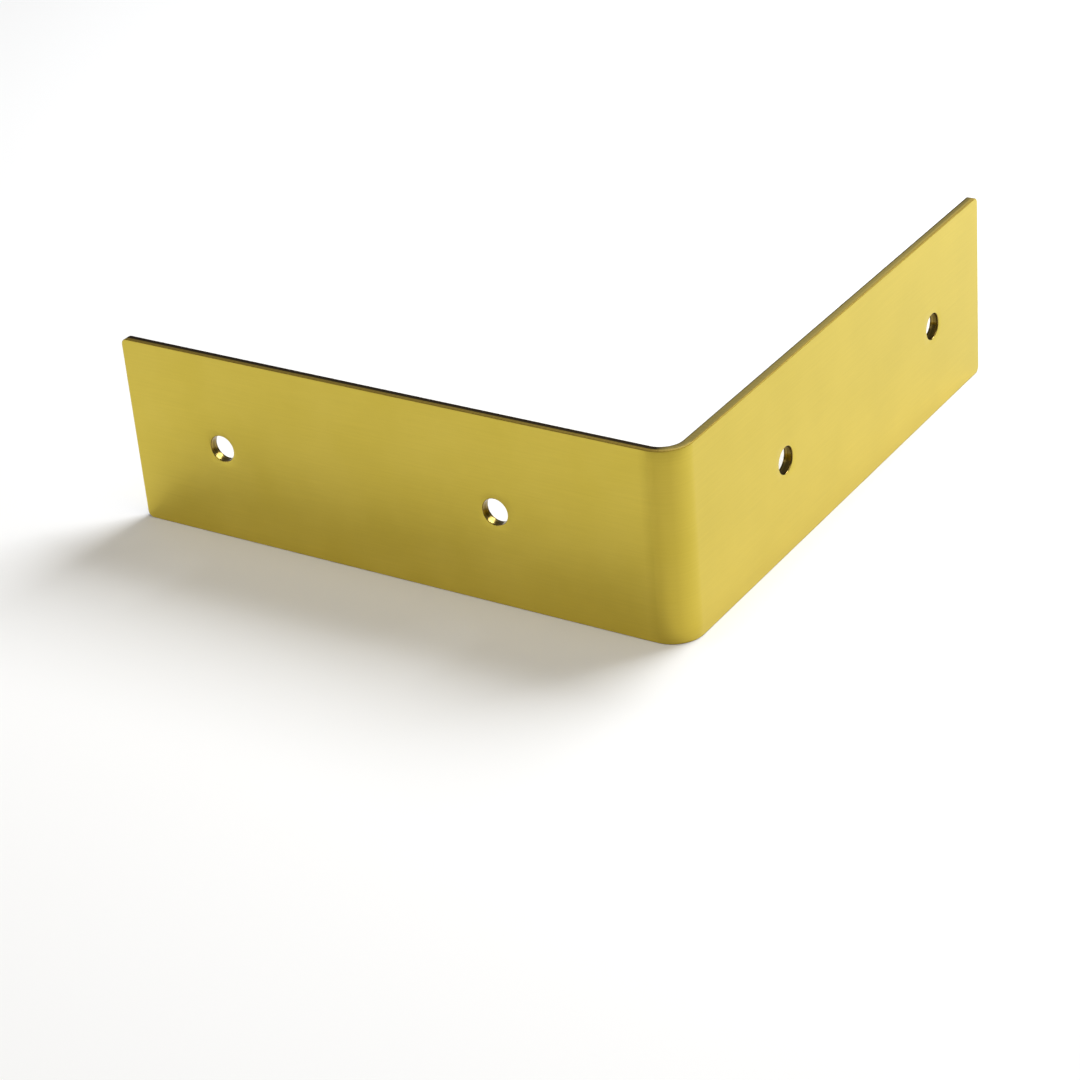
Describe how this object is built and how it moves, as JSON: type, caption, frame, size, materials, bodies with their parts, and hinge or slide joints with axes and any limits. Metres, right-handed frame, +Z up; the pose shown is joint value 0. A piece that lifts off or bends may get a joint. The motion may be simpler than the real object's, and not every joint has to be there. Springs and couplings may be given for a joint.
{
  "type": "corner kick plate",
  "caption": "Strip of satin brass sheet bent square, which wraps an outside corner at floor level and is screwed on through plain round holes.",
  "frame": {"origin": "on the bottom edge, in the middle of the bend and halfway through the sheet", "axes": "+Z up along the bend; the left leg runs along -X with its outer face towards -Y, and the right leg runs along +Y with its outer face towards +X"},
  "size_m": [0.1, 0.1, 0.0318],
  "materials": {
    "rolled_brass": "satin, uncoated rolled sheet with a faint lengthwise grain"
  },
  "bodies": {
    "root": {"corner_plate": "rolled_brass"}
  },
  "joints": []
}
